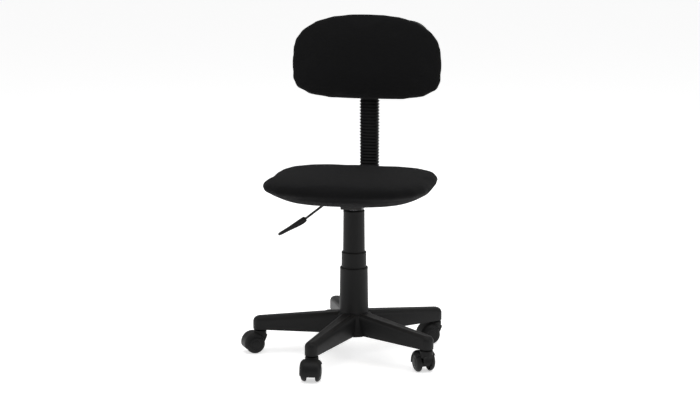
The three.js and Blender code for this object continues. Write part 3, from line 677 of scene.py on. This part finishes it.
# ---- Gas lift ----
# A steel tube in the hub with a plastic guide bush; the cylinder rises out of it on its piston rod, which
# a clip holds at the tube's floor over a bearing and a rubber buffer. All of it is hidden by the cover.
def metal(name, dark, light, roughness, scratches):
    """Plated or bare steel: fine marks drawn along one way, small changes of shade and shine."""
    material, tree, shader, where, _ = start_material(name, roughness)
    drawn = add_node(tree, "ShaderNodeMapping", Vector=where, Scale=(900.0, 900.0, 30.0)).outputs[0]
    marks = noise(tree, drawn, 1.0, 4.0, 0.6)
    clouds = noise(tree, where, 60.0, 4.0, 0.6)
    colour = blend_colours(tree, clouds, (*dark, 1), (*light, 1))
    shine = calculate(tree, "MULTIPLY_ADD", marks, scratches, roughness - scratches / 2)
    shine = calculate(tree, "MULTIPLY_ADD", clouds, 0.1, shine)
    shader.inputs["Metallic"].default_value = 1.0
    finish_surface(tree, shader, colour, shine, marks, 0.15, 0.00003)
    return material


def powder_coated(name, shade, roughness):
    """Black powder coat on steel: a fine orange peel, dusty on top, rubbed in patches."""
    material, tree, shader, where, facing = start_material(name, roughness)
    peel = noise(tree, where, 620.0, 2.0, 0.4)
    dusty = place_group(tree, settled_dust, Where=where, Facing=facing)
    rubbed = calculate(tree, "MULTIPLY", dusty.outputs["Rubbed"], 0.35)
    worn = blend_colours(tree, rubbed, (shade, shade, shade, 1), (shade * 1.8, shade * 1.8, shade * 1.8, 1))
    dust = calculate(tree, "MULTIPLY", dusty.outputs["Dust"], 0.04)
    colour = blend_colours(tree, dust, worn, (0.15, 0.145, 0.14, 1))
    shine = calculate(tree, "MULTIPLY_ADD", dusty.outputs["Rubbed"], -0.08, roughness)
    finish_surface(tree, shader, colour, shine, peel, 0.3, 0.00025)
    shader.inputs["Specular IOR Level"].default_value = 0.25
    return material


zinc = metal("zinc_plate", (0.56, 0.57, 0.6), (0.72, 0.72, 0.73), 0.3, 0.16)
grey_steel = metal("dull_steel", (0.10, 0.10, 0.105), (0.16, 0.16, 0.165), 0.45, 0.2)
bright_steel = metal("ground_steel", (0.5, 0.5, 0.51), (0.62, 0.62, 0.63), 0.2, 0.1)
black_steel = powder_coated("black_powder_coat", 0.006, 0.42)
rubber = moulded_plastic("buffer_rubber", 0.012, 0.02, 0.8, 500.0, 0.0001)


def dress(material, *nodes):
    """A CAD node that keeps its shape gets its final material."""
    for node in nodes:
        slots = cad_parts[node].data.materials
        slots.clear()
        slots.append(material)


dress(black_steel, "column_tube", *[f"castor_stem_{n}" for n in range(1, 6)])
dress(cover_plastic, "guide_bush")
dress(bright_steel, "gas_cylinder", "piston_rod", "valve_pin", "thrust_bearing")
dress(zinc, "rod_clip", *[f"castor_axle_{n}" for n in range(1, 6)])
dress(rubber, "rubber_buffer")


# ---- Seat mechanism ----
# A folded steel box under a pressed plate with turned-down flanges, powder coated black, bolted to the
# seat's board. The box's taper socket sits on the gas cylinder, and a dull steel plate shows in front.
def merged_copy(name, node):
    """A copy of a CAD node with its loose triangles merged, left open for editing."""
    piece = copy_of(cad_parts[node], name)
    edit(piece)
    bpy.ops.mesh.select_all(action="SELECT")
    bpy.ops.mesh.remove_doubles(threshold=1e-6)
    return piece


def rounded_copy(name, node, width, segments=2):
    """A piece that keeps a CAD node's shape, with its edges rounded."""
    piece = merged_copy(name, node)
    bpy.ops.mesh.dissolve_limited(angle_limit=math.radians(1))
    close(piece)
    round_edges(piece, width, segments, 40)
    return smooth(piece)


def black_steel_piece(name, node, body, width, segments=3):
    hand_over(rounded_copy(name, node, width, segments), body, "black_steel", black_steel, node)


def plated_bolts(name, node, count, body):
    for n in range(1, count + 1):
        bolt = rounded_copy(f"{name}_{n}", f"{node}_{n}", 0.0004)
        hand_over(bolt, body, "bare_steel", zinc, f"{node}_{n}")


black_steel_piece("mechanism_case", "mechanism_box", "seat", 0.0012)
black_steel_piece("pressed_plate", "seat_plate", "seat", 0.001)
box_low, box_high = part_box("mechanism_box")
slot_plate = new_block(
    "slot_plate",
    (-0.0055, box_low.y + 0.0008, box_low.z + 0.0062),
    (0.0055, box_low.y + 0.0022, box_low.z + 0.0112),
)
round_edges(slot_plate, 0.0009, 3)
hand_over(smooth(slot_plate), "seat", "bare_steel", grey_steel)
plated_bolts("plated_bolt", "seat_bolt", 4, "seat")


# ---- Height lever ----
# A steel rod that leaves the box level, bends down and ends inside a moulded handle: thick and oval at
# the rod, thinning to a flat blade that the fingers lift.
rod_y, rod_z, rod_radius = -0.003, 0.3975, 0.003
rod_bend, rod_end = Vector((-0.061, rod_y, rod_z)), Vector((-0.124, rod_y, 0.3475))
rod_way = (rod_end - rod_bend).normalized()


def lever_rod():
    """A disc facing along X, extruded level, turned step by step round the bend, then on down the slope."""
    start = Vector((-0.022, rod_y, rod_z))
    bpy.ops.object.select_all(action="DESELECT")
    bpy.ops.mesh.primitive_circle_add(
        vertices=24, radius=rod_radius, fill_type="NGON", location=start, rotation=(0, math.pi / 2, 0),
    )
    piece = new_piece("bent_rod")
    edit(piece)
    bpy.ops.mesh.select_all(action="SELECT")
    slope = math.atan2(rod_bend.z - rod_end.z, rod_bend.x - rod_end.x)
    bend_radius, steps = 0.012, 8
    tangent = bend_radius * math.tan(slope / 2)
    here = start
    centre = rod_bend + Vector((tangent, 0, -bend_radius))
    stops = [rod_bend + Vector((tangent, 0, 0))]
    for i in range(1, steps + 1):
        a = slope * i / steps
        stops.append(centre + bend_radius * Vector((-math.sin(a), 0, math.cos(a))))
    stops.append(rod_end + 0.02 * rod_way)
    for i, stop in enumerate(stops):
        bpy.ops.mesh.extrude_region_move(TRANSFORM_OT_translate={"value": stop - here})
        if 0 < i <= steps:
            mesh = bmesh.from_edit_mesh(piece.data)
            end = [v for v in mesh.verts if v.select]
            turn = Matrix.Translation(stop) @ Matrix.Rotation(-slope / steps, 4, "Y")
            bmesh.ops.transform(mesh, matrix=turn @ Matrix.Translation(-stop), verts=end)
            bmesh.update_edit_mesh(piece.data)
        here = stop
    heal(piece)
    return smooth(close(piece))


def lever_handle():
    """An oval ring extruded along the handle, each ring resized to the handle's section there."""
    length = 0.083
    # share of the length, half width, half height, lift of the middle
    sections = [
        (0.0, 0.0058, 0.0062, 0.0),
        (0.015, 0.0068, 0.0074, 0.0),
        (0.10, 0.0076, 0.0080, -0.0004),
        (0.22, 0.0086, 0.0080, -0.0004),
        (0.38, 0.0095, 0.0070, 0.0002),
        (0.55, 0.0102, 0.0058, 0.0010),
        (0.72, 0.0105, 0.0050, 0.0018),
        (0.87, 0.0102, 0.0046, 0.0026),
        (0.96, 0.0092, 0.0040, 0.0031),
        (1.0, 0.0072, 0.0030, 0.0033),
    ]
    bpy.ops.object.select_all(action="DESELECT")
    bpy.ops.mesh.primitive_circle_add(vertices=24, radius=1, fill_type="NGON", rotation=(0, math.pi / 2, 0))
    piece = new_piece("finger_handle")
    edit(piece)
    bpy.ops.mesh.select_all(action="SELECT")
    far, wide, high, lift = sections[0]
    bpy.ops.transform.resize(value=(1, wide, high), center_override=(0, 0, 0))
    for next_far, next_wide, next_high, next_lift in sections[1:]:
        step = Vector(((next_far - far) * length, 0, next_lift - lift))
        bpy.ops.mesh.extrude_region_move(TRANSFORM_OT_translate={"value": step})
        middle_here = (next_far * length, 0, next_lift)
        bpy.ops.transform.resize(value=(1, next_wide / wide, next_high / high), center_override=middle_here)
        far, wide, high, lift = next_far, next_wide, next_high, next_lift
    heal(piece)
    close(piece)
    apply_modifier(piece, "SUBSURF", levels=2, render_levels=2)
    # along -X and down the rod's slope
    tilt = math.atan2(-rod_way.z, -rod_way.x) - math.radians(4)
    put(piece, tilt=Matrix.Rotation(-tilt, 4, "Y") @ Matrix.Rotation(math.pi, 4, "Z"), to=rod_end)
    return smooth(piece, 60)


lever_plastic = moulded_plastic("handle_polypropylene", 0.006, 0.010, 0.38, 1500.0, 0.00005)
hand_over(lever_rod(), "lever", "black_steel", black_steel, "lever_rod")
hand_over(lever_handle(), "lever", "black_plastic", lever_plastic, "lever_handle")


# ---- Seat and backrest boards ----
# Pressed plywood, sawn to a rounded outline, with the grain running across the chair.
def plywood_material():
    material, tree, shader, where, _ = start_material("pressed_plywood", 0.7)
    along = add_node(tree, "ShaderNodeMapping", Vector=where, Scale=(6.0, 90.0, 90.0)).outputs[0]
    grain = noise(tree, along, 2.2, 6.0, 0.65)
    plies = add_node(
        tree, "ShaderNodeTexWave", {"bands_direction": "Z"}, Vector=where, Scale=220.0, Distortion=0.6,
    ).outputs["Fac"]
    sawn = calculate(tree, "MULTIPLY_ADD", plies, 0.25, calculate(tree, "MULTIPLY", grain, 0.75))
    colour = blend_colours(tree, sawn, (0.26, 0.16, 0.08, 1), (0.56, 0.4, 0.23, 1))
    finish_surface(tree, shader, colour, spread(tree, grain, 0.2, 0.8, 0.62, 0.8), grain, 0.3, 0.0002)
    return material


plywood = plywood_material()
dress(plywood, "seat_board", "back_board")


# ---- Upholstered pads ----
# Moulded foam under one piece of black woven polyester, stretched over the board and stapled behind.
# Each pad starts as its CAD solid, remeshed; air pressure crowns it, and its mounting face stays put.
def woven_cloth_group():
    """A plain weave on one plane: Height is the threads' crowns, Thread tells warp from weft."""
    group = bpy.data.node_groups.new("plain_weave", "ShaderNodeTree")
    input_socket(group, "Across", "Float")
    input_socket(group, "Along", "Float")
    input_socket(group, "Pitch", "Float", 0.0011)
    output_socket(group, "Height")
    output_socket(group, "Thread")
    start, end = group.nodes.new("NodeGroupInput"), group.nodes.new("NodeGroupOutput")
    half_turns = calculate(group, "DIVIDE", math.pi, start.outputs["Pitch"])
    across = calculate(group, "SINE", calculate(group, "MULTIPLY", start.outputs["Across"], half_turns))
    along = calculate(group, "SINE", calculate(group, "MULTIPLY", start.outputs["Along"], half_turns))
    over = calculate(group, "MULTIPLY", across, along)
    warp = calculate(group, "GREATER_THAN", over, 0.0)
    crown = calculate(group, "POWER", calculate(group, "ABSOLUTE", over), 0.5)
    group.links.new(crown, end.inputs["Height"])
    group.links.new(warp, end.inputs["Thread"])
    return group


plain_weave = woven_cloth_group()


def upholstery_material():
    """Black woven cloth seen on whichever plane the surface faces, with slubs, lint and a soft sheen."""
    material, tree, shader, where, facing = start_material("woven_polyester", 0.9)
    wobble = add_node(tree, "ShaderNodeTexNoise", Vector=where, Scale=45.0, Detail=2.0).outputs["Color"]
    moved = add_node(
        tree, "ShaderNodeVectorMath", {"operation": "MULTIPLY_ADD"}, n0=wobble, n1=(0.0009,) * 3, n2=where,
    )
    at = add_node(tree, "ShaderNodeSeparateXYZ", Vector=moved.outputs[0]).outputs
    way = add_node(tree, "ShaderNodeSeparateXYZ", Vector=facing).outputs
    planes = [place_group(tree, plain_weave, Across=at[a], Along=at[b]) for a, b in ((1, 2), (0, 2), (0, 1))]
    size = [calculate(tree, "ABSOLUTE", way[i]) for i in range(3)]
    share_y = spread(tree, calculate(tree, "SUBTRACT", size[1], size[0]), -0.06, 0.06, 0.0, 1.0)
    side_most = calculate(tree, "MAXIMUM", size[0], size[1])
    share_z = spread(tree, calculate(tree, "SUBTRACT", size[2], side_most), -0.06, 0.06, 0.0, 1.0)

    def on_planes(output):
        upright = add_node(
            tree, "ShaderNodeMix", n0=share_y, n2=planes[0].outputs[output], n3=planes[1].outputs[output],
        ).outputs[0]
        return add_node(
            tree, "ShaderNodeMix", n0=share_z, n2=upright, n3=planes[2].outputs[output],
        ).outputs[0]

    height, thread = on_planes("Height"), on_planes("Thread")
    slubs = noise(tree, where, 420.0, 3.0, 0.6)
    lint = spread(tree, noise(tree, where, 150.0, 8.0, 0.8), 0.66, 0.74, 0.0, 0.05)
    shade = calculate(tree, "MULTIPLY_ADD", thread, 0.25, calculate(tree, "MULTIPLY", slubs, 0.75))
    cloth = blend_colours(tree, shade, (0.0022, 0.0022, 0.0024, 1), (0.0055, 0.0055, 0.0058, 1))
    colour = blend_colours(tree, lint, cloth, (0.12, 0.12, 0.13, 1))
    shine = spread(tree, slubs, 0.2, 0.8, 0.86, 0.98)
    relief = calculate(tree, "MULTIPLY_ADD", slubs, 0.4, height)
    finish_surface(tree, shader, colour, shine, relief, 0.55, 0.0004)
    for name, value in (
        ("Sheen Weight", 0.015), ("Sheen Roughness", 0.45), ("Sheen Tint", (0.6, 0.6, 0.63, 1)),
        ("Specular IOR Level", 0.1),
    ):
        shader.inputs[name].default_value = value
    return material


upholstery = upholstery_material()


def crowned_pad(name, node, start_size, voxel, cap, held, sculpt):
    """The CAD pad remeshed, blown up a little where it isn't held, and fitted back to the CAD pad's box."""
    low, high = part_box(node)
    centre = (low + high) / 2
    piece = close(merged_copy(name, node))
    apply_modifier(piece, "REMESH", mode="VOXEL", voxel_size=voxel)
    apply_modifier(piece, "SMOOTH", factor=0.5, iterations=6)
    rest = [point.co.copy() for point in piece.data.vertices]
    fixed = [held(point) for point in rest]
    for point, keep in zip(piece.data.vertices, fixed):
        if not keep:
            point.co = centre + (point.co - centre) * start_size
    group = piece.vertex_groups.new(name="held")
    group.add([i for i, keep in enumerate(fixed) if keep], 1.0, "REPLACE")
    cloth = piece.modifiers.new("cloth", "CLOTH")
    cloth.settings.quality = 5
    cloth.settings.use_pressure = True
    cloth.settings.uniform_pressure_force = 4
    cloth.settings.vertex_group_mass = group.name
    cloth.settings.effector_weights.gravity = 0
    for count in range(1, 21):
        bpy.context.scene.frame_set(count)
    bpy.context.view_layer.update()
    blown = piece.evaluated_get(bpy.context.evaluated_depsgraph_get()).data
    for point, goal, keep, was in zip(piece.data.vertices, blown.vertices, fixed, rest):
        move = goal.co - point.co
        if keep:
            point.co = was
        elif move.length > cap:
            point.co += move * (cap / move.length)
        else:
            point.co = goal.co.copy()
    piece.modifiers.remove(cloth)
    piece.vertex_groups.remove(group)
    bpy.context.scene.frame_set(1)
    apply_modifier(piece, "SMOOTH", factor=0.5, iterations=16)
    apply_modifier(piece, "SUBSURF", levels=1, render_levels=1)
    found_low, found_high = Vector(piece.bound_box[0]), Vector(piece.bound_box[6])
    fit = Matrix.Diagonal([(high[i] - low[i]) / (found_high[i] - found_low[i]) for i in range(3)]).to_4x4()
    found_centre = (found_low + found_high) / 2
    piece.data.transform(Matrix.Translation(centre) @ fit @ Matrix.Translation(-found_centre))
    for point in piece.data.vertices:
        point.co = sculpt(point.co)
    return smooth(piece, 80)


seat_low, seat_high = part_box("seat_cushion")
back_low, back_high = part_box("back_cushion")
seat_centre, seat_rim, half_width, half_depth = (seat_low + seat_high) / 2, 0.447, 0.207, 0.19
board_reach, beyond_board, underside_rise, crown_drop = 0.72, 0.28, 0.26, 0.003
seat_shift, back_shift, back_drop = 0.0035, 0.002, 0.003


def shaped_seat(p):
    """A nearly flat top with full rolled edges, and an underside that rises to the rim beyond the board.
    One front corner is a little rounder, and the rear corner opposite it a little squarer."""
    across, along = (p.x - seat_centre.x) / half_width, (p.y - seat_centre.y) / half_depth
    out = min(1.0, math.hypot(across, along))
    if p.z > seat_rim:
        share = (p.z - seat_rim) / (seat_high.z - seat_rim)
        level = seat_rim + (seat_high.z - seat_rim - crown_drop) * share * (1 + 0.5 * (1 - share))
    else:
        lift = underside_rise * max(0.0, (out - board_reach) / beyond_board) ** 2
        level = seat_rim - (seat_rim - p.z) * (1 - lift)
    squarer = 0.0
    if across < 0 < along:
        squarer = 0.03
    elif along < 0 < across:
        squarer = -0.06
    return Vector((p.x * (1 + squarer * abs(along) ** 3) - seat_shift, p.y, level))


def shaped_back(p):
    """A shade narrower at its upper corners, wider at its lower ones."""
    share = (p.z - back_low.z) / (back_high.z - back_low.z)
    wide = 1 - 0.03 * max(0.0, share - 0.75) / 0.25 + 0.045 * max(0.0, 0.3 - share) / 0.3
    return Vector((p.x * wide - back_shift, p.y, p.z - back_drop))


seat_pad = crowned_pad(
    "seat_pad", "seat_cushion", 0.985, 0.005, 0.004, lambda p: p.z < seat_low.z + 0.012, shaped_seat,
)
back_pad = crowned_pad(
    "back_pad", "back_cushion", 0.985, 0.0045, 0.010, lambda p: p.y > back_high.y - 0.011, shaped_back,
)
for pad, body, node in ((seat_pad, "seat", "seat_cushion"), (back_pad, "backrest", "back_cushion")):
    hand_over(pad, body, "fabric", upholstery, node)


# ---- Back bar ----
# A flat steel bar, powder coated, that leaves the mechanism level, bends up behind the seat and carries
# the backrest's bracket.
black_steel_piece("bent_bar", "back_bar", "back_bar", 0.0012)
black_steel_piece("bar_bracket", "back_bracket", "backrest", 0.0008, 2)
plated_bolts("bracket_bolt", "back_bolt", 2, "backrest")


# ---- Bellows ----
# A blow-moulded accordion sleeve over the upright bar, with rounded folds, clamped at its foot and taken
# up and down by the backrest at its top.
bellows_low, bellows_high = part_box("bellows")
bellows_plastic = moulded_plastic("bellows_polyethylene", 0.004, 0.007, 0.5, 900.0, 0.0001)


def bellows():
    """A rounded rectangle of edges, extruded fold by fold with each ring drawn in or out."""
    folds, corner = 27, 0.007
    centre = (bellows_low + bellows_high) / 2
    half_wide, half_deep = (bellows_high.x - bellows_low.x) / 2, (bellows_high.y - bellows_low.y) / 2
    height = bellows_high.z - bellows_low.z
    pitch = height / folds
    bpy.ops.object.select_all(action="DESELECT")
    bpy.ops.mesh.primitive_plane_add(size=2, location=(centre.x, centre.y, bellows_low.z))
    piece = name_piece(bpy.context.object, "accordion_sleeve")
    piece.scale = (half_wide, half_deep, 1)
    bpy.ops.object.transform_apply(location=True, rotation=True, scale=True)
    edit(piece)
    bpy.ops.mesh.select_all(action="SELECT")
    bpy.ops.mesh.bevel(offset=corner, segments=6, affect="VERTICES")
    bpy.ops.mesh.select_all(action="SELECT")
    bpy.ops.mesh.delete(type="ONLY_FACE")
    bpy.ops.mesh.select_mode(type="EDGE")
    bpy.ops.mesh.select_all(action="SELECT")
    depth, wide, deep, level = 0.0028, half_wide, half_deep, bellows_low.z

    def next_ring(draw_in, rise):
        nonlocal wide, deep, level
        bpy.ops.mesh.extrude_region_move(TRANSFORM_OT_translate={"value": (0, 0, rise)})
        level += rise
        new_wide, new_deep = half_wide - draw_in, half_deep - draw_in
        bpy.ops.transform.resize(
            value=(new_wide / wide, new_deep / deep, 1), center_override=(centre.x, centre.y, level),
        )
        wide, deep = new_wide, new_deep

    next_ring(depth * 0.85, 0.0)
    for fold in range(folds):
        next_ring(depth, pitch * 0.10)
        next_ring(depth * 0.80, pitch * 0.14)
        next_ring(depth * 0.16, pitch * 0.18)
        next_ring(0.0, pitch * 0.08)
        next_ring(depth * 0.16, pitch * 0.08)
        next_ring(depth * 0.80, pitch * 0.18)
        next_ring(depth, pitch * 0.14)
        next_ring(depth, pitch * 0.10)
    next_ring(0.0052, 0.0)
    next_ring(0.0052, -height)
    next_ring(0.0, 0.0)
    heal(piece)
    return smooth(close(piece), 60)


sleeve_on_bar = bellows()
sleeve_on_bar.data.materials.clear()
sleeve_on_bar.data.materials.append(bellows_plastic)
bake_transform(sleeve_on_bar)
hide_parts("bellows")


# ---- Rear shell of the backrest ----
# A thin polypropylene tray over the board, the staples and the bracket, with a rolled edge and a shallow
# raised panel; a throat at its foot lets the bellows in, and the clamping knob turns in its middle.
shell_low, shell_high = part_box("back_shell")
knob_middle = middle("back_knob")


def back_shell():
    piece = new_block("rear_shell", shell_low, shell_high)
    edit(piece)
    pick_edges(piece, lambda a, b: abs(a.y - b.y) > 0.01)
    bpy.ops.mesh.bevel(offset=0.068, segments=14, affect="EDGES", profile=0.56)
    pick_edges(piece, lambda a, b: min(a.y, b.y) > shell_high.y - 0.0001)
    bpy.ops.mesh.bevel(offset=0.014, segments=6, affect="EDGES")
    pick_faces(piece, lambda at, normal: normal.y > 0.999 and at.y > shell_high.y - 0.0001)
    bpy.ops.mesh.inset(thickness=0.016)
    bpy.ops.mesh.inset(thickness=0.0025, depth=-0.0018)
    bpy.ops.mesh.inset(thickness=0.004)
    pick_faces(piece, lambda at, normal: normal.y < -0.9)
    bpy.ops.mesh.delete(type="FACE")
    bpy.ops.mesh.select_all(action="SELECT")
    bpy.ops.mesh.remove_doubles(threshold=1e-5)
    close(piece)
    apply_modifier(piece, "SOLIDIFY", thickness=0.0028, offset=-1)
    throat = new_block(
        "throat",
        (-0.030, shell_low.y - 0.01, shell_low.z - 0.02),
        (0.030, shell_high.y - 0.004, shell_low.z + 0.02),
    )
    round_edges(throat, 0.006, 4)
    combine(piece, throat, "DIFFERENCE")
    hole = turned("hole", [(0, -0.05), (0.005, -0.05), (0.005, 0.05), (0, 0.05)], 32)
    put(hole, tilt=Matrix.Rotation(math.pi / 2, 4, "X"), to=(0, shell_high.y, knob_middle.z))
    combine(piece, hole, "DIFFERENCE")
    return smooth(round_edges(piece, 0.0006, 2, 50))


shell_plastic = moulded_plastic("shell_polypropylene", 0.006, 0.010, 0.5, 800.0, 0.00014)
hand_over(back_shell(), "backrest", "black_plastic", shell_plastic, "back_shell")


# ---- Clamping knobs ----
# Six-lobed moulded knobs on steel screws: one clamps the bar under the seat, one the backrest's height.
def clamping_knob(name, screw_length):
    """A short cylinder whose side is drawn out into lobes, dished on top, its screw rising up +Z."""
    radius, grip = 0.0158, 0.018
    bpy.ops.object.select_all(action="DESELECT")
    bpy.ops.mesh.primitive_cylinder_add(vertices=24, radius=radius, depth=grip, location=(0, 0, -grip / 2))
    piece = new_piece(name)
    edit(piece)
    lobe = 2 * math.pi / 6
    off_lobe = lambda at: abs((math.atan2(at.y, at.x) + lobe / 2) % lobe - lobe / 2)
    pick_faces(piece, lambda at, normal: abs(normal.z) < 0.1 and off_lobe(at) < lobe / 4)
    bpy.ops.mesh.extrude_region_shrink_fatten(TRANSFORM_OT_shrink_fatten={"value": 0.0034})
    pick_faces(piece, lambda at, normal: normal.z < -0.9)
    bpy.ops.mesh.inset(thickness=0.0025)
    bpy.ops.mesh.inset(thickness=0.002, depth=-0.0012)
    bpy.ops.mesh.inset(thickness=0.003)
    pick_faces(piece, lambda at, normal: normal.z > 0.9)
    bpy.ops.mesh.inset(thickness=0.0025)
    pick_edges(piece, lambda a, b: abs(a.z - b.z) > 0.01)
    close(piece)
    apply_modifier(
        piece, "BEVEL", width=0.0012, segments=2, limit_method="ANGLE", angle_limit=math.radians(50),
    )
    apply_modifier(piece, "SUBSURF", levels=2, render_levels=2)
    neck = turned("neck", [(0, -0.001), (0.009, -0.001), (0.009, 0.0034), (0.0085, 0.004), (0, 0.004)], 40)
    combine(piece, neck, "UNION")
    smooth(piece, 45)
    screw = turned(f"{name}_screw", [
        (0, 0.0041), (0.004, 0.0041), (0.004, screw_length - 0.001), (0.003, screw_length), (0, screw_length),
    ], 32)
    return piece, smooth(screw)


depth_middle, knob_height = middle("depth_knob"), 0.018
depth_place = Vector((depth_middle.x, depth_middle.y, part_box("depth_knob")[0].z + knob_height))
back_place = Vector((knob_middle.x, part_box("back_knob")[1].y - knob_height, knob_middle.z))
upright_knob = Matrix.Rotation(math.pi / 2, 4, "X")
knobs = (
    ("depth_grip", 0.014, depth_place, None, "depth_knob"),
    ("height_grip", 0.030, back_place, upright_knob, "back_knob"),
)
for name, screw_length, place, tilt, node in knobs:
    grip, screw = clamping_knob(name, screw_length)
    hand_over(put(grip, to=place, tilt=tilt), node, "black_plastic", lever_plastic, node)
    hand_over(put(screw, to=place, tilt=tilt), node, "bare_steel", zinc)
